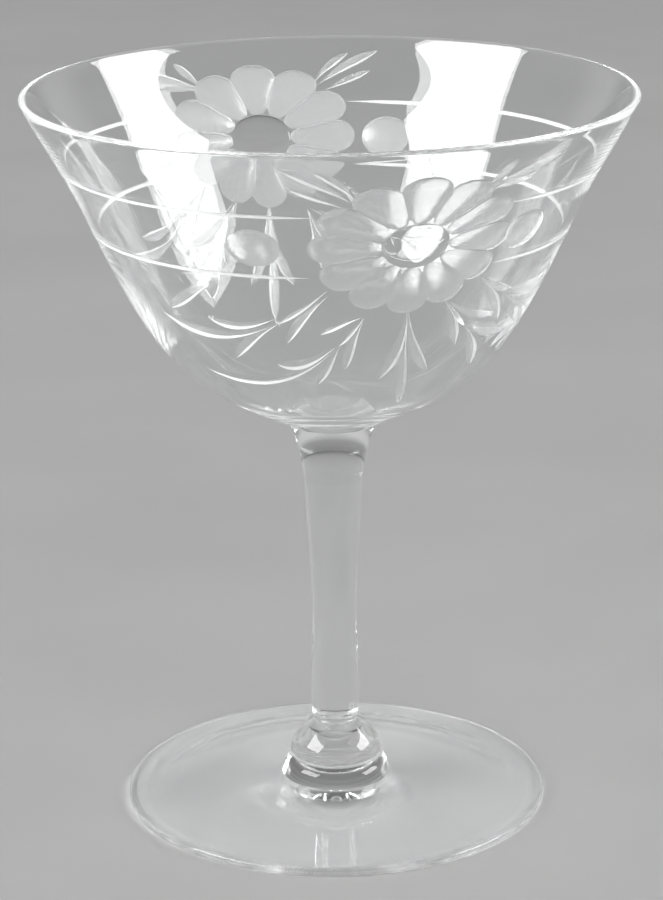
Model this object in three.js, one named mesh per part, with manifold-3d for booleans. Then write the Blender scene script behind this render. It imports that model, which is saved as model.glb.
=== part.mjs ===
// A stemmed sherbet glass. From the table up it is a round foot, a merese, a ball knop, a drawn stem
// and a flared blown bowl, each a separate piece of clear glass fused to the next on a flat face.
// Millimetres, +Z up. The origin is the middle of the foot, on the surface the glass stands on.
// Every piece is drawn as half a profile (x is the radius, y the height above its own lower face)
// and turned about the axis. The bowl is then cut with flowers, as a wheel cuts them.
import * as THREE from "three";
import { mergeVertices } from "three/addons/utils/BufferGeometryUtils.js";
import Module from "manifold-3d";

// Foot: a thin disc, a little domed on top and hollow below, standing on a flat ring.
const FOOT_RADIUS = 35.0;
const FOOT_EDGE_THICKNESS = 1.5;
const FOOT_EDGE_ROUND = 0.6;
const FOOT_MIDDLE_HEIGHT = 3.6;
const FOOT_HOLLOW_DEPTH = 1.4;
const FOOT_REST_WIDTH = 3.4;

// Merese: the collar between the foot and the knop.
const MERESE_RADIUS = 9.0;
const MERESE_HEIGHT = 3.0;

// Knop: a flattened ball, widest just above its seat and drawn in to a short neck under the stem.
const KNOP_RADIUS = 7.6;
const KNOP_HEIGHT = 7.2;
const KNOP_SEAT_RADIUS = 7.25;
const KNOP_WIDEST_HEIGHT = 0.8;
const KNOP_TOP_RADIUS = 4.6;
const NECK_LENGTH = 1.3;

// Stem: swells above the neck, narrows to a waist and opens out under the bowl.
const STEM_LENGTH = 51.4;
const STEM_END_RADIUS = 3.85;
const STEM_END_ROUND = 0.45;
const SWELL_RADIUS = 4.05;
const SWELL_HEIGHT = 6.0;
const WAIST_RADIUS = 3.65;
const WAIST_HEIGHT = 16.4;
const SHAFT_RADIUS = 4.6;
const SHAFT_HEIGHT = 38.0;
const SHAFT_LEAN = 3.0;
const HEAD_RADIUS = 7.2;
const HEAD_LEAN = 24.0;

// Bowl: a round bottom running into a straight side that flares at the lip.
const BOWL_HEIGHT = 54.8;
const RIM_RADIUS = 49.0;
const SIDE_RADIUS = 39.75;
const SIDE_HEIGHT = 36.8;
const BASE_LEAN = 63.5;
const SIDE_LEAN = 24.0;
const LIP_LEAN = 26.0;
const WALL_AT_RIM = 1.0;
const WALL_AT_SIDE = 1.2;
const FLOOR_THICKNESS = 3.0;
const FLOOR_REACH = 17.0;

// Flowers: one on either side of the bowl, each a ring of scooped petals round a clear middle, and
// round dots beside them. Azimuths are in degrees round the bowl from the front, drops are counted
// down the wall from the lip. A flower is drawn round and stretched sideways.
const FLOWER_AZIMUTHS = [18, 197];
const FLOWER_DROP = 17.0;
const FLOWER_STRETCH = 1.27;
const PETAL_COUNT = 12;
const PETAL_START = 4.0;
const PETAL_END = 13.0;
const PETAL_OVERLAP = 0.4;
const DOT_AZIMUTHS = [-16.6, 45.7, 166.2, 226];
const DOT_WIDTH = 8.6;
const DOT_HEIGHT = 7.2;
const CUT_DEPTH = 0.42;
const CUT_CLEARANCE = 0.12;

const WIDE_SEGMENTS = 64;
const NARROW_SEGMENTS = 32;

// The neck meets the stem where the stem's lower end has rounded in.
const NECK_RADIUS = STEM_END_RADIUS - STEM_END_ROUND;

// Every piece sits on the top face of the one below it.
const MERESE_BASE = FOOT_MIDDLE_HEIGHT;
const KNOP_BASE = MERESE_BASE + MERESE_HEIGHT;
const STEM_BASE = KNOP_BASE + KNOP_HEIGHT;
const BOWL_BASE = STEM_BASE + STEM_LENGTH;

const at = (radius, height) => new THREE.Vector2(radius, height);

// A step of a given length in a direction that leans outwards from upright by some degrees.
function along(lean, length) {
  const angle = THREE.MathUtils.degToRad(lean);
  return at(Math.sin(angle) * length, Math.cos(angle) * length);
}

// The step across a leaning wall, from its outer face to its inner face.
const across = (lean, wall) => along(lean - 90, wall);

// A smooth curve that leaves one point and reaches the next at given leans. The two pulls say how
// far along the chord each lean still holds.
function bend(from, fromLean, to, toLean, count, fromPull = 0.36, toPull = 0.36) {
  const chord = from.distanceTo(to);
  const leaving = from.clone().add(along(fromLean, chord * fromPull));
  const arriving = to.clone().sub(along(toLean, chord * toPull));
  return new THREE.CubicBezierCurve(from, leaving, arriving, to).getPoints(count);
}

// Part of an ellipse about a centre, between two angles in degrees counted from straight outwards.
function arc(centre, wide, high, start, end, count) {
  const [first, last] = [start, end].map(THREE.MathUtils.degToRad);
  const curve = new THREE.EllipseCurve(centre.x, centre.y, wide, high, first, last, last < first);
  return curve.getPoints(count);
}

function footProfile() {
  const round = Math.min(FOOT_EDGE_ROUND, FOOT_EDGE_THICKNESS / 2);
  const shoulder = FOOT_RADIUS - round;
  const lowEdge = arc(at(shoulder, round), round, round, -90, 0, 2);
  const highEdge = arc(at(shoulder, FOOT_EDGE_THICKNESS - round), round, round, 0, 90, 2);
  const hollowRim = at(shoulder - FOOT_REST_WIDTH, 0);
  const hollow = bend(at(0, FOOT_HOLLOW_DEPTH), 90, hollowRim, 97, 5);
  const top = bend(highEdge.at(-1), -87, at(MERESE_RADIUS, FOOT_MIDDLE_HEIGHT), -80, 5);
  return [...hollow, ...lowEdge, ...highEdge, ...top.slice(1), at(0, FOOT_MIDDLE_HEIGHT)];
}

function mereseProfile() {
  const side = bend(at(MERESE_RADIUS, 0), -6, at(KNOP_SEAT_RADIUS, MERESE_HEIGHT), -76, 6);
  return [at(0, 0), ...side, at(0, MERESE_HEIGHT)];
}

function knopProfile() {
  const seat = at(KNOP_SEAT_RADIUS, 0);
  const widest = at(KNOP_RADIUS, KNOP_WIDEST_HEIGHT);
  const top = at(KNOP_TOP_RADIUS, KNOP_HEIGHT - NECK_LENGTH);
  const neck = at(NECK_RADIUS, KNOP_HEIGHT);
  return [
    at(0, 0),
    ...bend(seat, 50, widest, 0, 3),
    ...bend(widest, 0, top, -44, 7).slice(1),
    ...bend(top, -44, neck, -8, 3).slice(1),
    at(0, KNOP_HEIGHT),
  ];
}

function stemProfile() {
  const swell = at(SWELL_RADIUS, SWELL_HEIGHT);
  const waist = at(WAIST_RADIUS, WAIST_HEIGHT);
  const shaft = at(SHAFT_RADIUS, SHAFT_HEIGHT);
  const head = at(HEAD_RADIUS, STEM_LENGTH);
  const end = at(NECK_RADIUS, STEM_END_ROUND);
  return [
    at(0, 0),
    ...arc(end, STEM_END_ROUND, STEM_END_ROUND, -90, 0, 3),
    ...bend(at(STEM_END_RADIUS, STEM_END_ROUND), 3, swell, 0, 3).slice(1),
    ...bend(swell, 0, waist, 0, 5).slice(1),
    ...bend(waist, 0, shaft, SHAFT_LEAN, 5).slice(1),
    ...bend(shaft, SHAFT_LEAN, head, HEAD_LEAN, 6).slice(1),
    at(0, STEM_LENGTH),
  ];
}

// The bowl's outer face, from the stem up to where the lip begins to turn over.
const lipRound = WALL_AT_RIM / 2;
const lip = at(RIM_RADIUS - lipRound, BOWL_HEIGHT - lipRound);
const lipArc = arc(lip, lipRound, lipRound, -LIP_LEAN, 180 - LIP_LEAN, 4);
const side = at(SIDE_RADIUS, SIDE_HEIGHT);
const outerFace = [
  ...bend(at(HEAD_RADIUS, 0), BASE_LEAN, side, SIDE_LEAN, 10, 0.393, 0.61),
  ...bend(side, SIDE_LEAN, lipArc[0], LIP_LEAN, 4, 0.33, 0.3).slice(1),
];

// Up the outer face, over the rounded lip, and down the inner face to the bowl's floor.
function bowlProfile() {
  const innerSide = side.clone().add(across(SIDE_LEAN, WALL_AT_SIDE));
  const floor = at(0, FLOOR_THICKNESS);
  const floorPull = FLOOR_REACH / floor.distanceTo(innerSide);
  const innerLow = bend(floor, 90, innerSide, SIDE_LEAN, 9, floorPull, 0.59);
  const innerHigh = bend(innerSide, SIDE_LEAN, lipArc.at(-1), LIP_LEAN, 4, 0.33, 0.3);
  return [
    at(0, 0),
    ...outerFace,
    ...lipArc.slice(1),
    ...innerHigh.reverse().slice(1),
    ...innerLow.reverse().slice(1),
  ];
}

// A point of the outer face, some degrees round the bowl and some way down from the lip, lifted off
// the wall or sunk into it.
const wallCurve = new THREE.SplineCurve(outerFace);
const wallLength = wallCurve.getLength();
function onWall(azimuth, drop, lift) {
  const share = THREE.MathUtils.clamp(1 - drop / wallLength, 0, 1);
  const uphill = wallCurve.getTangentAt(share);
  const place = wallCurve.getPointAt(share).add(at(uphill.y, -uphill.x).multiplyScalar(lift));
  const turn = THREE.MathUtils.degToRad(azimuth);
  return new THREE.Vector3(place.x * Math.sin(turn), -place.x * Math.cos(turn), place.y);
}

// Neighbouring petals run into each other and leave a sharp ridge: their straight sides point at the
// flower's middle, and both ends are round.
function petalHalfWidth(reach) {
  const spread = Math.PI / PETAL_COUNT;
  const tipRadius = (PETAL_END * Math.sin(spread)) / (1 + Math.sin(spread));
  const startRadius = PETAL_START * Math.tan(spread);
  const pastTip = Math.max(0, reach - (PETAL_END - tipRadius));
  const beforeStart = Math.max(0, PETAL_START + startRadius - reach);
  const tipHalf = Math.sqrt(Math.max(0, tipRadius ** 2 - pastTip ** 2));
  const startHalf = Math.sqrt(Math.max(0, startRadius ** 2 - beforeStart ** 2));
  const straightHalf = reach * Math.tan(spread);
  return Math.min(tipHalf, beforeStart > 0 ? startHalf : straightHalf) + PETAL_OVERLAP / 2;
}

// What the wheel takes away: a flattened ball, from one reach to another along a turned line, with a
// given half width at every reach. Its widest line stands clear of the wall.
function scoop(azimuth, turn, from, to, halfWidth, stretch) {
  const ball = new THREE.SphereGeometry(1, 12, 10);
  const places = ball.attributes.position;
  const radius = wallCurve.getPointAt(1 - FLOWER_DROP / wallLength).x;
  for (let i = 0; i < places.count; i += 1) {
    const rounded = Math.hypot(places.getX(i), places.getZ(i)) || 1;
    const reach = from + ((to - from) * (places.getY(i) + 1)) / 2;
    const sideways = (-places.getX(i) / rounded) * halfWidth(reach);
    const right = (reach * Math.cos(turn) - sideways * Math.sin(turn)) * stretch;
    const up = reach * Math.sin(turn) + sideways * Math.cos(turn);
    const swing = THREE.MathUtils.radToDeg(right / radius);
    const lift = CUT_CLEARANCE + places.getZ(i) * (CUT_CLEARANCE + CUT_DEPTH);
    const point = onWall(azimuth + swing, FLOWER_DROP - up, lift);
    places.setXYZ(i, point.x, point.y, point.z);
  }
  return ball;
}

function petals(azimuth) {
  return Array.from({ length: PETAL_COUNT }, (_, petal) => {
    const turn = (2 * Math.PI * petal) / PETAL_COUNT;
    return scoop(azimuth, turn, PETAL_START, PETAL_END, petalHalfWidth, FLOWER_STRETCH);
  });
}

function dot(azimuth) {
  const half = DOT_WIDTH / 2;
  const round = (reach) => (DOT_HEIGHT / 2) * Math.sqrt(Math.max(0, 1 - (reach / half) ** 2));
  return scoop(azimuth, 0, -half, half, round, 1);
}

const wasm = await Module();
wasm.setup();

// A geometry as a solid that can be cut. Triangles that have shrunk to a line at a pole are left out.
function solidOf(geometry) {
  const bare = geometry.clone();
  bare.deleteAttribute("normal");
  bare.deleteAttribute("uv");
  const merged = mergeVertices(bare, 1e-5);
  const corners = [];
  for (let i = 0; i < merged.index.count; i += 3) {
    const [a, b, c] = [0, 1, 2].map((k) => merged.index.getX(i + k));
    if (a !== b && b !== c && c !== a) corners.push(a, b, c);
  }
  const vertProperties = new Float32Array(merged.attributes.position.array);
  const triVerts = new Uint32Array(corners);
  return new wasm.Manifold(new wasm.Mesh({ numProp: 3, vertProperties, triVerts }));
}

function cut(geometry, scoops) {
  const rest = scoops.reduce((left, taken) => left.subtract(solidOf(taken)), solidOf(geometry));
  const { vertProperties, triVerts } = rest.getMesh();
  const result = new THREE.BufferGeometry();
  result.setAttribute("position", new THREE.BufferAttribute(vertProperties, 3));
  result.setIndex(new THREE.BufferAttribute(triVerts, 1));
  result.computeVertexNormals();
  return result;
}

const glass = (colour, roughness) =>
  new THREE.MeshStandardMaterial({ color: colour, roughness, metalness: 0 });

function turned(profile, segments) {
  return new THREE.LatheGeometry(profile, segments).rotateX(Math.PI / 2);
}

function piece(name, geometry, base, material) {
  const mesh = new THREE.Mesh(geometry, material);
  mesh.name = name;
  mesh.position.z = base;
  return mesh;
}

const foot = turned(footProfile(), WIDE_SEGMENTS);
const merese = turned(mereseProfile(), NARROW_SEGMENTS);
const knop = turned(knopProfile(), NARROW_SEGMENTS);
const stem = turned(stemProfile(), NARROW_SEGMENTS);
const scoops = [...FLOWER_AZIMUTHS.flatMap(petals), ...DOT_AZIMUTHS.map(dot)];
const bowl = cut(turned(bowlProfile(), WIDE_SEGMENTS), scoops);

const sherbetGlass = new THREE.Group();
sherbetGlass.name = "sherbet_glass";
sherbetGlass.add(
  piece("foot", foot, 0, glass("#c9cfcf", 0.06)),
  piece("merese", merese, MERESE_BASE, glass("#cdd3d3", 0.05)),
  piece("knop", knop, KNOP_BASE, glass("#d3d9d9", 0.04)),
  piece("stem", stem, STEM_BASE, glass("#ccd2d2", 0.05)),
  piece("bowl", bowl, BOWL_BASE, glass("#d6dcdc", 0.04)),
);

export default sherbetGlass;
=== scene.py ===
# %% [markdown]
# # A wheel-cut sherbet glass
# This lesson dresses the plain solids of a stemmed sherbet glass: a flared bowl with cut flower
# sprays, a drawn stem, a ball knop, a collar called a merese and a round foot. Clear glass is
# hard to show, because what the eye sees is bent light, so the walls here are real closed walls
# with a true thickness, and the flowers are really cut into them.

# %% Load the frame
from bisect import bisect_left
from math import asin, cos, degrees, hypot, pi, radians, sin, sqrt, tan, tau

import bpy
from mathutils import Matrix, Vector
from mathutils.geometry import interpolate_bezier


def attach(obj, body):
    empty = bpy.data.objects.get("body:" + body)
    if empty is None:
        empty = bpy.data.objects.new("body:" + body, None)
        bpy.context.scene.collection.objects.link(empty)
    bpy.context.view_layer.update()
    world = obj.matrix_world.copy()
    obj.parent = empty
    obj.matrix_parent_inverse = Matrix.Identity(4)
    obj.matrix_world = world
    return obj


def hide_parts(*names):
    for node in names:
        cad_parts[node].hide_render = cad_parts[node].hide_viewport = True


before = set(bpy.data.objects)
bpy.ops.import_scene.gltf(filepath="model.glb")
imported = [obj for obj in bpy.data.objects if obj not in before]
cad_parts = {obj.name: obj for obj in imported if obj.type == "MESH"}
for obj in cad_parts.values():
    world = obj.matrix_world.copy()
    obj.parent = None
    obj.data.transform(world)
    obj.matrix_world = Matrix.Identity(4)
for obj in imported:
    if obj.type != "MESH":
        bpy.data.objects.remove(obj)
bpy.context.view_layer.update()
MM = 0.001
print("solids to dress:", sorted(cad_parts))

# %% [markdown]
# ## The camera
# The photograph looks down at the glass from a little above its rim, through a long lens. The two
# ellipses of the rim and the foot fix the camera completely: how flat each one looks gives the
# angle, and how much they differ gives the distance. The picture is 663 pixels wide and 900 high,
# and the lens is written for Blender's 36 mm sensor, which lies along the longer side.

# %% Camera at the photograph's viewing angle
PHOTO_HEIGHT = 900
FOCAL_PIXELS = 3046.5
CAMERA_PLACE = Vector((-0.25, -475.3, 211.4)) * MM
LOOK_DOWN, ROLL = 17.65, 0.55
SENSOR_WIDTH, CLIP_START = 36.0, 0.01

bpy.ops.object.select_all(action="DESELECT")
bpy.ops.object.camera_add()
camera = bpy.context.object
camera.name = "photo_camera"
camera.data.sensor_width = SENSOR_WIDTH
camera.data.lens = FOCAL_PIXELS * SENSOR_WIDTH / PHOTO_HEIGHT
camera.data.clip_start = CLIP_START
aim = Matrix.Rotation(radians(90 - LOOK_DOWN), 4, "X") @ Matrix.Rotation(radians(-ROLL), 4, "Z")
camera.matrix_world = Matrix.Translation(CAMERA_PLACE) @ aim
bpy.context.scene.camera = camera
print("lens", round(camera.data.lens, 1), "mm")

# %% [markdown]
# ## Drawing a section and turning it
# Every piece of this glass was made by turning: the bowl was blown and spun on the iron, the foot
# was spun out flat. A turned piece is half a section and an axis. A screw modifier could turn the
# section, but extruding one point along it and using Spin is the way it is done by hand, and each
# step can be looked at. A lean is an angle from upright, outwards, and it says which way the
# section is going. A pull says how long a curve holds on to its lean, as a share of the way to
# its other end.

# %% Section helpers
UP, OUT, IN = 0, 90, -90
EASY_PULL, ROUND_PULL = 0.36, 0.39


def at(radius, height):
    return Vector((radius, 0.0, height))


def along(lean, length):
    return Vector((sin(radians(lean)), 0.0, cos(radians(lean)))) * length


def bend(start, start_lean, end, end_lean, count, start_pull=EASY_PULL, end_pull=EASY_PULL):
    """Points of a smooth curve that leaves start and reaches end at given leans."""
    chord = (end - start).length
    leaving = start + along(start_lean, chord * start_pull)
    arriving = end - along(end_lean, chord * end_pull)
    return interpolate_bezier(start, leaving, arriving, end, count + 1)[1:]


def corner(start, start_lean, end, end_lean, count=5):
    """A quarter round, for edges."""
    return bend(start, start_lean, end, end_lean, count, ROUND_PULL, ROUND_PULL)


# %% Turning
SMOOTH_BELOW = 28
WELD_WITHIN = 1e-6


def turned(name, section, base, steps):
    """Extrude a point along a section given in millimetres, then spin it once round the axis."""
    bpy.ops.object.select_all(action="DESELECT")
    bpy.ops.mesh.primitive_plane_add(size=MM, location=(0, 0, 0))
    piece = bpy.context.object
    piece.name = piece.data.name = name
    places = [(point + Vector((0, 0, base))) * MM for point in section]
    bpy.ops.object.mode_set(mode="EDIT")
    bpy.ops.mesh.merge(type="CENTER")
    bpy.ops.transform.translate(value=places[0])
    for before, after in zip(places, places[1:]):
        bpy.ops.mesh.extrude_region_move(TRANSFORM_OT_translate={"value": after - before})
    bpy.ops.mesh.select_all(action="SELECT")
    bpy.ops.mesh.spin(steps=steps, angle=tau, center=(0, 0, 0), axis=(0, 0, 1))
    bpy.ops.mesh.select_all(action="SELECT")
    bpy.ops.mesh.remove_doubles(threshold=WELD_WITHIN)
    bpy.ops.mesh.normals_make_consistent(inside=False)
    bpy.ops.object.mode_set(mode="OBJECT")
    bpy.ops.object.shade_smooth_by_angle(angle=radians(SMOOTH_BELOW))
    print(name, "turned:", len(piece.data.polygons), "faces")
    return piece


# %% [markdown]
# ## The foot
# The foot is a disc spun out thin, a little higher in the middle, with a soft fire-polished edge.
# It is hollow underneath and stands on a flat ring, so that it doesn't rock.

# %% Foot
FOOT_RADIUS, FOOT_EDGE, FOOT_ROUND = 35.0, 1.5, 0.6
FOOT_TOP, FOOT_HOLLOW, FOOT_REST = 3.6, 1.4, 3.4
UNDER_LEAN, EDGE_LEAN, TOP_LEAN = 97, -87, -80
FOOT_STEPS = 384
MERESE_RADIUS = 9.0

shoulder = FOOT_RADIUS - FOOT_ROUND
foot_section = [at(0, FOOT_HOLLOW)]
foot_section += bend(foot_section[-1], OUT, at(shoulder - FOOT_REST, 0), UNDER_LEAN, count=22)
foot_section += [at(shoulder, 0)]
foot_section += corner(foot_section[-1], OUT, at(FOOT_RADIUS, FOOT_ROUND), UP)
foot_section += [at(FOOT_RADIUS, FOOT_EDGE - FOOT_ROUND)]
foot_section += corner(foot_section[-1], UP, at(shoulder, FOOT_EDGE), IN)
foot_top_edge = at(MERESE_RADIUS, FOOT_TOP)
foot_section += bend(foot_section[-1], EDGE_LEAN, foot_top_edge, TOP_LEAN, count=22)
foot_section += [at(0, FOOT_TOP)]
foot = turned("foot_disc", foot_section, 0, FOOT_STEPS)

# %% [markdown]
# ## The merese and the knop
# Where the stem meets the foot the maker dropped two small gathers of glass: a collar that
# spreads over the foot, and a ball above it. Their outlines meet in a fine groove, and the ball
# is drawn in to a short neck under the stem.

# %% Merese
MERESE_HEIGHT = 3.0
MERESE_LEAN, SEAT_LEAN = -6, -76
KNOP_SEAT = 7.25
SMALL_STEPS = 128

merese_section = [at(0, 0), at(MERESE_RADIUS, 0)]
seat_edge = at(KNOP_SEAT, MERESE_HEIGHT)
merese_section += bend(merese_section[-1], MERESE_LEAN, seat_edge, SEAT_LEAN, count=14)
merese_section += [at(0, MERESE_HEIGHT)]
merese = turned("merese_collar", merese_section, FOOT_TOP, SMALL_STEPS)

# %% Knop
KNOP_RADIUS, KNOP_HEIGHT, KNOP_WIDEST, KNOP_TOP = 7.6, 7.2, 0.8, 4.6
NECK_RADIUS, NECK_LENGTH = 3.4, 1.3
KNOP_LEAN, NECK_START_LEAN, NECK_END_LEAN = 50, -44, -8
KNOP_BASE = FOOT_TOP + MERESE_HEIGHT

knop_section = [at(0, 0), at(KNOP_SEAT, 0)]
widest, neck_end = at(KNOP_RADIUS, KNOP_WIDEST), at(NECK_RADIUS, KNOP_HEIGHT)
neck_start = at(KNOP_TOP, KNOP_HEIGHT - NECK_LENGTH)
knop_section += bend(knop_section[-1], KNOP_LEAN, widest, UP, count=8)
knop_section += bend(widest, UP, neck_start, NECK_START_LEAN, count=22)
knop_section += bend(neck_start, NECK_START_LEAN, neck_end, NECK_END_LEAN, count=8)
knop_section += [at(0, KNOP_HEIGHT)]
knop = turned("knop_ball", knop_section, KNOP_BASE, SMALL_STEPS)

# %% [markdown]
# ## The stem
# The stem was drawn out of hot glass, so nothing about it is straight: it swells a little above
# the neck, has a waist a quarter of the way up, and opens like a trumpet under the bowl.

# %% Stem
STEM_LENGTH, STEM_END, STEM_ROUND = 51.4, 3.85, 0.45
SWELL, WAIST, SHAFT = at(4.05, 6.0), at(3.65, 16.4), at(4.6, 38.0)
END_LEAN, SHAFT_LEAN, HEAD_LEAN, HEAD_RADIUS = 3.0, 3.0, 24.0, 7.2
STEM_BASE = KNOP_BASE + KNOP_HEIGHT

stem_section = [at(0, 0), at(STEM_END - STEM_ROUND, 0)]
stem_section += corner(stem_section[-1], OUT, at(STEM_END, STEM_ROUND), UP)
stem_section += bend(stem_section[-1], END_LEAN, SWELL, UP, count=8)
stem_section += bend(SWELL, UP, WAIST, UP, count=12)
stem_section += bend(WAIST, UP, SHAFT, SHAFT_LEAN, count=16)
stem_section += bend(SHAFT, SHAFT_LEAN, at(HEAD_RADIUS, STEM_LENGTH), HEAD_LEAN, count=16)
stem_section += [at(0, STEM_LENGTH)]
stem = turned("stem_shaft", stem_section, STEM_BASE, SMALL_STEPS)

# %% [markdown]
# ## The bowl
# The bowl has a round bottom that runs into a straight side and flares at the lip. Its wall is
# about a millimetre thick at the lip and three at the bottom. The section goes up the outer face,
# over the rounded lip and down the inner face, so the spun shape is one closed wall and light
# bends in it twice, as it does in the real one.

# %% Bowl
BOWL_HEIGHT, RIM_RADIUS = 54.77, 48.97
SIDE = at(39.75, 36.8)
BASE_LEAN, SIDE_LEAN, LIP_LEAN = 63.5, 24.0, 26.0
WALL_AT_RIM, WALL_AT_SIDE = 1.0, 1.2
FLOOR, FLOOR_REACH = 3.0, 17.0
BASE_PULL, SIDE_PULL, INNER_SIDE_PULL, LIP_PULLS = 0.393, 0.61, 0.59, (0.33, 0.3)
LIP_COUNT, BOWL_STEPS = 10, 480
BOWL_BASE = STEM_BASE + STEM_LENGTH

lip_round = WALL_AT_RIM / 2
lip = at(RIM_RADIUS - lip_round, BOWL_HEIGHT - lip_round)
outer_lip = lip + along(LIP_LEAN + 90, lip_round)
lip_top = lip + along(LIP_LEAN, lip_round)
inner_lip = lip + along(LIP_LEAN - 90, lip_round)
inner_side = SIDE + along(SIDE_LEAN - 90, WALL_AT_SIDE)
floor_middle = at(0, FLOOR)
floor_pull = FLOOR_REACH / (inner_side - floor_middle).length

outer_face = [at(HEAD_RADIUS, 0)]
outer_face += bend(outer_face[-1], BASE_LEAN, SIDE, SIDE_LEAN, 40, BASE_PULL, SIDE_PULL)
outer_face += bend(SIDE, SIDE_LEAN, outer_lip, LIP_LEAN, 20, *LIP_PULLS)
bowl_section = [at(0, 0)] + outer_face
bowl_section += corner(outer_lip, LIP_LEAN, lip_top, LIP_LEAN - 90, LIP_COUNT)
bowl_section += corner(lip_top, LIP_LEAN - 90, inner_lip, LIP_LEAN - 180, LIP_COUNT)
inner_face = [floor_middle]
inner_face += bend(floor_middle, OUT, inner_side, SIDE_LEAN, 32, floor_pull, INNER_SIDE_PULL)
inner_face += bend(inner_side, SIDE_LEAN, inner_lip, LIP_LEAN, 16, *LIP_PULLS)
bowl_section += inner_face[::-1][1:]
bowl = turned("bowl_wall", bowl_section, BOWL_BASE, BOWL_STEPS)

# %% [markdown]
# ## Clear glass
# Clear glass is a Principled shader with full transmission and the bending power of soda-lime
# glass. Hand-made glass isn't perfect: the wall is faintly wavy and handling leaves a thin film,
# so slow noise moves the roughness, the tint and a very weak bump. A renderer finds light through
# glass slowly, so shadow rays go straight through, tinted more at glancing angles, where a real
# shadow is darkest.


# %% Node helpers
def new_material(name):
    material = bpy.data.materials.new(name)
    material.use_nodes = True
    nodes, links = material.node_tree.nodes, material.node_tree.links
    return material, nodes, links, nodes["Principled BSDF"]


def noise_on_object(nodes, links, scale, detail):
    place = nodes.new("ShaderNodeTexCoord")
    noise = nodes.new("ShaderNodeTexNoise")
    noise.inputs["Scale"].default_value = scale
    noise.inputs["Detail"].default_value = detail
    links.new(place.outputs["Object"], noise.inputs["Vector"])
    return noise


def ramp(nodes, links, source, low, high, start=0.3, end=0.7):
    """Turn a noise into a colour or a grey between two ends."""
    grade = nodes.new("ShaderNodeValToRGB")
    for stop, place, colour in zip(grade.color_ramp.elements, (start, end), (low, high)):
        stop.position = place
        stop.color = (*colour, 1.0) if isinstance(colour, tuple) else (colour, colour, colour, 1.0)
    links.new(source, grade.inputs["Fac"])
    return grade.outputs["Color"]


# %% Glass shader
GLASS_BEND = 1.52
SMEAR_SCALE, SMEAR_DETAIL = 90.0, 4.0
RIPPLE_SCALE, RIPPLE_DETAIL, RIPPLE_HEIGHT = 55.0, 1.0, 0.0004
CLEAN_TINT, FILM_TINT = (0.985, 0.992, 0.99), (0.965, 0.975, 0.972)
FILM_START, FILM_END = 0.45, 0.8
SHADOW_BLEND, SHADOW_RANGE, GLASS_SHADOW = 0.35, (0.1, 0.9), (0.94, 0.5)


def let_shadow_rays_through(nodes, links, shader, facing_tint, edge_tint):
    rays = nodes.new("ShaderNodeLightPath")
    facing = nodes.new("ShaderNodeLayerWeight")
    facing.inputs["Blend"].default_value = SHADOW_BLEND
    clear = nodes.new("ShaderNodeBsdfTransparent")
    tint = ramp(nodes, links, facing.outputs["Facing"], facing_tint, edge_tint, *SHADOW_RANGE)
    links.new(tint, clear.inputs["Color"])
    pick = nodes.new("ShaderNodeMixShader")
    links.new(rays.outputs["Is Shadow Ray"], pick.inputs["Fac"])
    links.new(shader.outputs["BSDF"], pick.inputs[1])
    links.new(clear.outputs["BSDF"], pick.inputs[2])
    links.new(pick.outputs["Shader"], nodes["Material Output"].inputs["Surface"])


def clear_glass(name, film, wave):
    material, nodes, links, shader = new_material(name)
    shader.inputs["Transmission Weight"].default_value = 1.0
    shader.inputs["IOR"].default_value = GLASS_BEND
    smear = noise_on_object(nodes, links, SMEAR_SCALE, SMEAR_DETAIL).outputs["Fac"]
    rough = ramp(nodes, links, smear, 0.0, film, FILM_START, FILM_END)
    links.new(rough, shader.inputs["Roughness"])
    links.new(ramp(nodes, links, smear, CLEAN_TINT, FILM_TINT), shader.inputs["Base Color"])
    ripple = noise_on_object(nodes, links, RIPPLE_SCALE, RIPPLE_DETAIL)
    bump = nodes.new("ShaderNodeBump")
    bump.inputs["Strength"].default_value = wave
    bump.inputs["Distance"].default_value = RIPPLE_HEIGHT
    links.new(ripple.outputs["Fac"], bump.inputs["Height"])
    links.new(bump.outputs["Normal"], shader.inputs["Normal"])
    let_shadow_rays_through(nodes, links, shader, *GLASS_SHADOW)
    return material


bowl_glass = clear_glass("bowl_glass", film=0.03, wave=0.12)
stem_glass = clear_glass("stem_glass", film=0.03, wave=0.10)
knop_glass = clear_glass("knop_glass", film=0.02, wave=0.06)
foot_glass = clear_glass("foot_glass", film=0.04, wave=0.12)
print("clear glass:", [m.name for m in (bowl_glass, stem_glass, knop_glass, foot_glass)])

# %% [markdown]
# ## Fused joints
# The pieces were stuck together hot, so inside the glass there is no surface where one ends and
# the next begins. In the model each piece is closed, and where two meet they share a flat disc.
# Those discs are made fully see-through, so that light passes from piece to piece without
# bending.

# %% Joint discs
FLAT_WITHIN = 1e-3

fused, nodes, links, shader = new_material("fused_joint")
passing = nodes.new("ShaderNodeBsdfTransparent")
links.new(passing.outputs["BSDF"], nodes["Material Output"].inputs["Surface"])
nodes.remove(shader)


def glaze(piece, glass, joint_heights):
    """Give a piece its glass, and its flat joint discs at given heights the fused finish."""
    piece.data.materials.append(glass)
    piece.data.materials.append(fused)
    for face in piece.data.polygons:
        heights = [piece.data.vertices[i].co.z / MM for i in face.vertices]
        if any(max(abs(h - joint) for h in heights) < FLAT_WITHIN for joint in joint_heights):
            face.material_index = 1
    print(piece.name, "joint faces:", sum(f.material_index for f in piece.data.polygons))


glaze(foot, foot_glass, [FOOT_TOP])
glaze(merese, knop_glass, [FOOT_TOP, KNOP_BASE])
glaze(knop, knop_glass, [KNOP_BASE, STEM_BASE])
glaze(stem, stem_glass, [STEM_BASE, BOWL_BASE])
glaze(bowl, bowl_glass, [BOWL_BASE])

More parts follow.
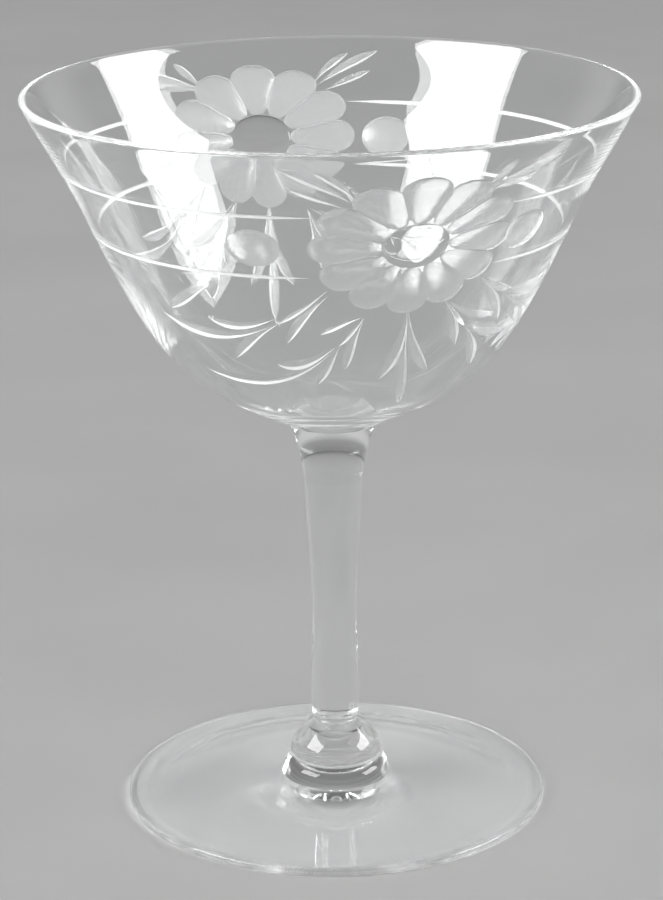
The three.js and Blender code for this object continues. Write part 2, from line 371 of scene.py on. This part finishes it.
# %% [markdown]
# ## Grey cutting
# The flowers were cut with turning stone wheels and left as the stone leaves them: grey and
# satiny, not polished clear. So the cut faces have their own finish: light passing through is
# blurred, some of it comes back white, and a soft shine lies over it, which a coat layer gives.
# The steep sides of sharp cuts are torn more by the wheel, so they have a second, whiter finish.

# %% Cut finishes
GRAIN_SCALE, GRAIN_DETAIL = 2600.0, 3.0
CUT_ROUGHNESS, COAT_ROUGHNESS = (0.15, 0.22), 0.24
GRIT_STRENGTH, GRIT_HEIGHT = 0.05, 0.00006
CUT_SHADOW = 0.72, 0.4


def cut_glass(name, tones, passing, shine):
    material, nodes, links, shader = new_material(name)
    shader.inputs["IOR"].default_value = GLASS_BEND
    shader.inputs["Transmission Weight"].default_value = passing
    shader.inputs["Coat Weight"].default_value = shine
    shader.inputs["Coat Roughness"].default_value = COAT_ROUGHNESS
    grain = noise_on_object(nodes, links, GRAIN_SCALE, GRAIN_DETAIL).outputs["Fac"]
    links.new(ramp(nodes, links, grain, *tones), shader.inputs["Base Color"])
    links.new(ramp(nodes, links, grain, *CUT_ROUGHNESS), shader.inputs["Roughness"])
    grit = nodes.new("ShaderNodeBump")
    grit.inputs["Strength"].default_value = GRIT_STRENGTH
    grit.inputs["Distance"].default_value = GRIT_HEIGHT
    links.new(grain, grit.inputs["Height"])
    links.new(grit.outputs["Normal"], shader.inputs["Normal"])
    let_shadow_rays_through(nodes, links, shader, *CUT_SHADOW)
    return material


GREYS = (0.86, 0.88, 0.88), (0.96, 0.97, 0.97)
WHITES = (0.90, 0.92, 0.92), (0.98, 0.98, 0.98)
grey_cut = cut_glass("grey_cut", GREYS, passing=0.78, shine=0.6)
white_cut = cut_glass("white_cut", WHITES, passing=0.35, shine=0.5)
print("cut finishes:", grey_cut.name, white_cut.name)

# %% [markdown]
# ## Laying a drawing on the wall
# The cutter marked the pattern on the bowl before cutting. Here the marks are an unrolled
# drawing: an azimuth, in degrees to the viewer's right from the front, and a height. One helper
# finds the point of the outer face that belongs to a mark, and lifts it off the wall or sinks it
# in.

# %% Marks on the bowl's outer face
wall_points = [point + Vector((0, 0, BOWL_BASE)) for point in outer_face]
wall_heights = [point.z for point in wall_points]
wall_slopes = []
for i in range(len(wall_points)):
    step = wall_points[min(i + 1, len(wall_points) - 1)] - wall_points[max(i - 1, 0)]
    wall_slopes.append(step.normalized())


def wall_at(height):
    """Radius of the outer face at a height, and the direction up the wall there."""
    i = min(max(bisect_left(wall_heights, height), 1), len(wall_heights) - 1)
    share = (height - wall_heights[i - 1]) / (wall_heights[i] - wall_heights[i - 1])
    radius = wall_points[i - 1].lerp(wall_points[i], share).x
    return radius, wall_slopes[i - 1].lerp(wall_slopes[i], share).normalized()


def on_wall(azimuth, height, lift):
    radius, up = wall_at(height)
    radius += up.z * lift
    turn = radians(azimuth)
    return Vector((radius * sin(turn), -radius * cos(turn), height - up.x * lift)) * MM


print("wall radius, base to lip:", [round(wall_points[i].x, 2) for i in (0, -1)], "mm")

# %% [markdown]
# ## Two cutting strokes
# Two kinds of stroke make the whole pattern. A broad round wheel pressed straight in leaves a
# scoop: a flattened ball, laid on the wall, has that shape. A thin wheel with a sharp edge,
# rolled along a line, leaves a pointed groove: a four-sided ball, pulled out along the line, is
# that shape, and moving its deep edge to one side gives the leaf one steep white side and one
# broad grey side. Both reach a little out of the wall, so that no face of theirs lies in its
# face.

# %% Scoops
CUT_DEPTH, CUT_CLEARANCE = 0.42, 0.12
TINY = 1e-6


def scoop(azimuth, height, turn, start, end, half_width, stretch, finish, segments=36):
    """A round hollow along a turned line from a mark, with a given half width at every reach."""
    bpy.ops.object.select_all(action="DESELECT")
    rings = segments * 7 // 9
    bpy.ops.mesh.primitive_uv_sphere_add(segments=segments, ring_count=rings, radius=1.0)
    cutter = bpy.context.object
    cutter.data.materials.append(finish)
    radius, up = wall_at(height)
    for vertex in cutter.data.vertices:
        x, y, z = vertex.co
        reach = start + (end - start) * (z + 1) / 2
        side = x / max(hypot(x, y), TINY) * half_width(reach)
        right = (reach * cos(turn) - side * sin(turn)) * stretch
        rise = reach * sin(turn) + side * cos(turn)
        lift = CUT_CLEARANCE + y * (CUT_CLEARANCE + CUT_DEPTH)
        vertex.co = on_wall(azimuth + degrees(right / radius), height + rise * up.z, lift)
    return cutter


# %% Outlines of grooves
TIP_WEIGHT, FULLNESS = 1.6, 0.75
RUN_OUT = 1 / 14


def leaf_swell(share):
    """A leaf is thin at its base and broadest towards the tip."""
    return max(0.0, sin(pi * share ** TIP_WEIGHT)) ** FULLNESS


def line_swell(share):
    """A line has one width and runs out at both ends."""
    return min(1.0, share / RUN_OUT, (1 - share) / RUN_OUT)


# %% Grooves
GROOVE_CLEARANCE, GROOVE_TOP, DEEP_EDGE = 0.02, 0.5, -0.5


def groove(start, via, end, width, depth, swell, deep_side, rings):
    """A pointed groove from one mark to another, bowed towards a third."""
    bpy.ops.object.select_all(action="DESELECT")
    bpy.ops.mesh.primitive_uv_sphere_add(segments=4, ring_count=rings, radius=1.0)
    cutter = bpy.context.object
    for finish in (grey_cut, white_cut):
        cutter.data.materials.append(finish)
    for face in cutter.data.polygons:
        face.material_index = 1 if face.center.x > 0 or not deep_side else 0
    start, via, end = Vector(start), Vector(via), Vector(end)
    for vertex in cutter.data.vertices:
        x, y, z = vertex.co
        share = 0.5 + asin(max(-1.0, min(1.0, z))) / pi
        mark = start.lerp(via, share).lerp(via.lerp(end, share), share)
        heading = via.lerp(end, share) - start.lerp(via, share)
        radius, up = wall_at(mark.y)
        ahead = Vector((radians(heading.x) * radius, heading.y / up.z)).normalized()
        thick = max(hypot(x, y), TINY)
        across, deep = x / thick, y / thick
        shift = deep_side if deep < DEEP_EDGE else 0.0
        side = (across + shift) * swell(share) * width / 2
        lift = GROOVE_CLEARANCE + deep * swell(share) * (depth if deep < 0 else GROOVE_TOP)
        azimuth = mark.x - degrees(ahead.y * side / radius)
        vertex.co = on_wall(azimuth, mark.y + ahead.x * side * up.z, lift)
    return cutter


# %% [markdown]
# ## The flower
# Each flower has a round middle, hollowed and polished clear again, and a ring of scooped petals
# that run into each other. The wheel was set down once for each petal, so where two petals meet a
# sharp ridge is left. A petal's straight sides point at the flower's middle and its ends are
# round. The flower is drawn round and stretched sideways. The petals are cut in two rounds, every
# other one first, because neighbours overlap. The clear middle works as a lens that makes what is
# behind it smaller, so its scoop has finer steps.

# %% Shape of a petal
FLOWERS = (18.0, 197.0)
FLOWER_HEIGHT = 103.9
FLOWER_STRETCH = 1.27
PETALS, PETAL_START, PETAL_END, PETAL_OVERLAP = 12, 4.0, 13.0, 0.4
MIDDLE_RADIUS, MIDDLE_SEGMENTS = 4.3, 90
DOTS = (-16.6, 45.7, 166.2, 226.0)
DOT_WIDTH, DOT_HEIGHT = 8.6, 7.2


def petal_half_width(reach):
    spread = pi / PETALS
    tip_radius = PETAL_END * sin(spread) / (1 + sin(spread))
    start_radius = PETAL_START * tan(spread)
    past_tip = max(0.0, reach - (PETAL_END - tip_radius))
    before_start = max(0.0, PETAL_START + start_radius - reach)
    tip_half = sqrt(max(0.0, tip_radius ** 2 - past_tip ** 2))
    start_half = sqrt(max(0.0, start_radius ** 2 - before_start ** 2))
    straight_half = start_half if before_start else reach * tan(spread)
    return min(tip_half, straight_half) + PETAL_OVERLAP / 2


# %% Cutters of petals, middles and dots
def middle_half_width(reach):
    return sqrt(max(0.0, MIDDLE_RADIUS ** 2 - reach ** 2))


def dot_half_width(reach):
    return DOT_HEIGHT / 2 * sqrt(max(0.0, 1 - (2 * reach / DOT_WIDTH) ** 2))


rounds = {"petals_first": [], "petals_second": [], "middles": [], "dots_and_rings": []}
for flower in FLOWERS:
    for petal in range(PETALS):
        turn = tau * petal / PETALS
        shape = PETAL_START, PETAL_END, petal_half_width, FLOWER_STRETCH
        cutter = scoop(flower, FLOWER_HEIGHT, turn, *shape, grey_cut)
        rounds["petals_second" if petal % 2 else "petals_first"].append(cutter)
    shape = -MIDDLE_RADIUS, MIDDLE_RADIUS, middle_half_width, FLOWER_STRETCH
    cutter = scoop(flower, FLOWER_HEIGHT, 0.0, *shape, bowl_glass, MIDDLE_SEGMENTS)
    rounds["middles"].append(cutter)
for azimuth in DOTS:
    shape = -DOT_WIDTH / 2, DOT_WIDTH / 2, dot_half_width, 1.0
    cutter = scoop(azimuth, FLOWER_HEIGHT, 0.0, *shape, grey_cut)
    rounds["dots_and_rings"].append(cutter)
print("scoops:", sum(len(cutters) for cutters in rounds.values()))

# %% [markdown]
# ## The leaf sprays
# Under each flower the leaves fan out in five sprays, two small ones stand above it, and two
# leaves grow beside the dots. Every leaf is one stroke of the sharp wheel, bowed as the cutter
# swung the glass. A leaf is written as three marks, where it starts, where it bows to and its
# tip, each in degrees from the flower's middle and millimetres above the table, and then its
# width.

# %% Leaf sprays
LEAVES = {
    "left": [
        ((-18.4, 97.2), (-25.0, 93.2), (-31.5, 90.8), 0.9),
        ((-30.2, 91.2), (-50.2, 85.1), (-67.8, 90.0), 2.2),
        ((-31.3, 91.9), (-42.4, 88.7), (-50.8, 90.6), 1.7),
        ((-30.4, 91.1), (-40.2, 88.2), (-46.6, 83.7), 1.8),
        ((-18.2, 96.3), (-26.3, 91.8), (-30.0, 87.3), 1.5),
    ],
    "lower left": [
        ((-9.8, 92.2), (-12.6, 89.2), (-16.4, 86.9), 0.9),
        ((-15.6, 87.4), (-31.3, 76.5), (-60.8, 80.3), 1.5),
        ((-16.0, 87.3), (-26.3, 82.3), (-33.9, 83.3), 2.3),
        ((-15.6, 87.3), (-19.5, 83.0), (-22.7, 79.6), 1.7),
        ((-9.9, 91.9), (-13.9, 86.8), (-14.2, 82.6), 1.7),
        ((-10.2, 92.1), (-16.3, 90.9), (-21.1, 89.0), 1.1),
    ],
    "middle": [
        ((0.1, 93.7), (2.4, 85.7), (-4.0, 80.1), 2.1),
        ((1.2, 91.8), (1.2, 80.7), (8.1, 74.6), 2.0),
        ((0.6, 93.6), (2.4, 85.1), (12.4, 80.8), 1.9),
    ],
    "lower right": [
        ((9.8, 94.1), (14.4, 90.8), (19.3, 88.4), 0.9),
        ((9.4, 94.2), (15.1, 89.8), (18.7, 84.8), 1.8),
        ((10.7, 93.9), (18.7, 89.6), (29.8, 89.4), 1.7),
        ((19.2, 88.4), (25.9, 84.6), (31.7, 79.8), 2.0),
        ((19.2, 88.7), (26.4, 85.7), (39.2, 85.2), 1.8),
    ],
    "right": [
        ((18.4, 96.8), (25.9, 93.2), (32.8, 87.7), 2.0),
        ((18.1, 97.2), (23.1, 94.3), (32.0, 93.3), 1.6),
        ((29.4, 92.7), (46.0, 86.5), (63.0, 91.0), 2.2),
        ((30.0, 93.3), (40.0, 91.0), (49.0, 92.5), 1.7),
    ],
    "crown": [
        ((-13.9, 111.6), (-19.7, 115.1), (-27.2, 117.4), 1.7),
        ((-13.4, 112.0), (-15.8, 115.0), (-21.0, 117.0), 1.4),
        ((-15.2, 110.8), (-20.2, 112.6), (-25.8, 114.2), 1.3),
        ((11.9, 112.4), (14.5, 114.8), (17.3, 116.7), 1.6),
        ((12.0, 112.3), (19.0, 114.3), (28.5, 116.4), 1.8),
        ((12.4, 112.0), (17.0, 113.0), (22.6, 113.2), 1.2),
    ],
    "beside the dots": [
        ((-42.8, 100.7), (-46.0, 97.5), (-47.8, 94.3), 1.8),
        ((-46.1, 97.3), (-54.0, 94.8), (-63.0, 91.1), 2.0),
    ],
}
LEAF_DEPTH, LEAF_DEEP_SIDE, LEAF_STEPS = 0.34, 0.62, 28

for flower in FLOWERS:
    for spray in LEAVES.values():
        for number, (start, via, end, width) in enumerate(spray):
            marks = [(flower + azimuth, height) for azimuth, height in (start, via, end)]
            cutter = groove(*marks, width, LEAF_DEPTH, leaf_swell, LEAF_DEEP_SIDE, LEAF_STEPS)
            rounds.setdefault(f"leaves_{number}", []).append(cutter)
print("leaves:", sum(len(spray) for spray in LEAVES.values()) * len(FLOWERS))

# %% [markdown]
# ## Ring lines
# Two fine rings tie the flowers together round the bowl. The wheel was lifted at the petals, so
# each ring is two strokes, written with the degrees at which they leave one flower and reach the
# next.

# %% Ring lines
RINGS = {109.3: (18.2, -20.0), 99.0: (19.8, -22.0)}
RING_WIDTH, RING_DEPTH, RING_STEPS = 0.7, 0.2, 240

for height, (after, before) in RINGS.items():
    for flower, following in zip(FLOWERS, (FLOWERS[1], FLOWERS[0] + 360)):
        first, last = flower + after, following + before
        marks = [(first, height), ((first + last) / 2, height), (last, height)]
        ring = groove(*marks, RING_WIDTH, RING_DEPTH, line_swell, 0.0, RING_STEPS)
        rounds["dots_and_rings"].append(ring)
print("ring lines:", 2 * len(RINGS))

# %% [markdown]
# ## Cutting
# The strokes of one round don't overlap, so they are joined and taken out of the wall with one
# Boolean modifier. The cut faces bring their finish with them. Ridges sharper than a small angle
# stay sharp.

# %% Cut the bowl
RIDGE_ANGLE = 18


def cut_round(title, cutters):
    bpy.ops.object.select_all(action="DESELECT")
    for cutter in cutters:
        cutter.select_set(True)
    bpy.context.view_layer.objects.active = cutters[0]
    bpy.ops.object.join()
    tool = bpy.context.object
    bpy.ops.object.mode_set(mode="EDIT")
    bpy.ops.mesh.select_all(action="SELECT")
    bpy.ops.mesh.normals_make_consistent(inside=False)
    bpy.ops.object.mode_set(mode="OBJECT")
    bpy.ops.object.select_all(action="DESELECT")
    bpy.context.view_layer.objects.active = bowl
    bowl.select_set(True)
    wheel = bowl.modifiers.new(title, "BOOLEAN")
    wheel.operation, wheel.solver, wheel.object = "DIFFERENCE", "MANIFOLD", tool
    wheel.material_mode = "TRANSFER"
    bpy.ops.object.modifier_apply(modifier=title)
    bpy.data.objects.remove(tool)
    print(title, "cut:", len(bowl.data.polygons), "faces")


for title, cutters in rounds.items():
    cut_round(title, cutters)
bpy.ops.object.shade_smooth_by_angle(angle=radians(RIDGE_ANGLE))
print("finishes on the bowl:", [m.name for m in bowl.data.materials])

# %% [markdown]
# ## Hanging the pieces on the frame
# The glass has no moving parts, so every piece rides on the one body and stands for the solid of
# the same name.

# %% Ride on the frame
for piece, node, slot in (
    (foot, "foot", "foot_glass"),
    (merese, "merese", "knop_glass"),
    (knop, "knop", "knop_glass"),
    (stem, "stem", "stem_glass"),
    (bowl, "bowl", "bowl_glass"),
):
    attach(piece, "root")
    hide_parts(node)
    print(piece.name, "stands for", node)

# %% [markdown]
# ## Table and light
# A plain pale table and two large soft boxes, one at the front left and one at the right, as the
# bright panels in the bowl tell. Their shine draws the glass. A third, low one in front brings
# out the matt cutting. It would only put a stray spot in the stem, so clear glass is told not to
# show it.

# %% Table
TABLE_SIZE, TABLE_MIDDLE = 8.0, (0, 1.5, 0)
TABLE_TONES, TABLE_ROUGHNESS = (0.40, 0.43), 0.7
FLECK_SCALE, FLECK_DETAIL = 14.0, 6.0

bpy.ops.object.select_all(action="DESELECT")
bpy.ops.mesh.primitive_plane_add(size=TABLE_SIZE, location=TABLE_MIDDLE)
table = bpy.context.object
table.name = "table_top"
table_paint, nodes, links, shader = new_material("table_paint")
fleck = noise_on_object(nodes, links, FLECK_SCALE, FLECK_DETAIL).outputs["Fac"]
links.new(ramp(nodes, links, fleck, *TABLE_TONES), shader.inputs["Base Color"])
shader.inputs["Roughness"].default_value = TABLE_ROUGHNESS
table.data.materials.append(table_paint)
print("table:", TABLE_SIZE, "m wide")


# %% Soft boxes
LAMP_AIM, LAMP_DISTANCE = Vector((0, 0, 0.09)), 3.0


def soft_box(name, azimuth, elevation, wide, tall, radiance):
    bpy.ops.object.light_add(type="AREA")
    lamp = bpy.context.object
    lamp.name = name
    lamp.visible_camera = False
    lamp.data.shape = "RECTANGLE"
    lamp.data.size, lamp.data.size_y = wide, tall
    lamp.data.energy = radiance * pi * wide * tall
    a, e = radians(azimuth), radians(elevation)
    away = Vector((sin(a) * cos(e), -cos(a) * cos(e), sin(e)))
    lamp.location = LAMP_AIM + away * LAMP_DISTANCE
    lamp.rotation_euler = away.to_track_quat("Z", "Y").to_euler()
    print(name, round(lamp.data.energy, 1), "W")
    return lamp


soft_box("soft_box_left", azimuth=-67, elevation=34, wide=2.1, tall=1.33, radiance=9.5)
soft_box("soft_box_right", azimuth=89, elevation=26.5, wide=2.0, tall=1.1, radiance=9.5)
fill = soft_box("soft_box_front", azimuth=-8, elevation=10, wide=2.2, tall=0.8, radiance=5.0)
fill.visible_glossy = fill.visible_transmission = False

# %% [markdown]
# ## The room
# Clear glass has no colour of its own: it shows the room, squeezed into its edges. In an evenly
# lit room it nearly vanishes, so this one has tones from the horizon up to the ceiling, each
# written with the sine of its height: dim at the horizon, a bright band a little above it and a
# dark ceiling. The mean of them is the plain, low room light.

# %% The room
ROOM = (
    (0.0, 0.22), (0.1, 0.30), (0.18, 0.58), (0.26, 0.58), (0.36, 0.26), (0.55, 0.16), (1.0, 0.12)
)

world = bpy.data.worlds.new("room")
bpy.context.scene.world = world
world.use_nodes = True
nodes, links = world.node_tree.nodes, world.node_tree.links
way = nodes.new("ShaderNodeTexCoord")
split = nodes.new("ShaderNodeSeparateXYZ")
links.new(way.outputs["Generated"], split.inputs["Vector"])
walls = nodes.new("ShaderNodeValToRGB")
for height, tone in ROOM[1:-1]:
    walls.color_ramp.elements.new(height)
for stop, (height, tone) in zip(walls.color_ramp.elements, ROOM):
    stop.position = height
    stop.color = (tone, tone, tone, 1.0)
links.new(split.outputs["Z"], walls.inputs["Fac"])
links.new(walls.outputs["Color"], nodes["Background"].inputs["Color"])
bpy.context.scene.view_settings.view_transform = "Standard"
print("room tones:", len(ROOM))

# %% [markdown]
# ## Enough bounces for glass
# A ray that is caught inside the wall is thrown back and forth dozens of times before it leaves.
# With too few bounces such places go black, so the limits are raised. Blender also blurs what is
# seen through a matt face, to save time. That is switched off, so that the bright panels glow
# through the petals.

# %% Light bounces
BOUNCES = 128

cycles = bpy.context.scene.cycles
cycles.max_bounces = cycles.transmission_bounces = cycles.glossy_bounces = BOUNCES
cycles.transparent_max_bounces = BOUNCES
cycles.blur_glossy = 0.0
print("bounces:", cycles.max_bounces)
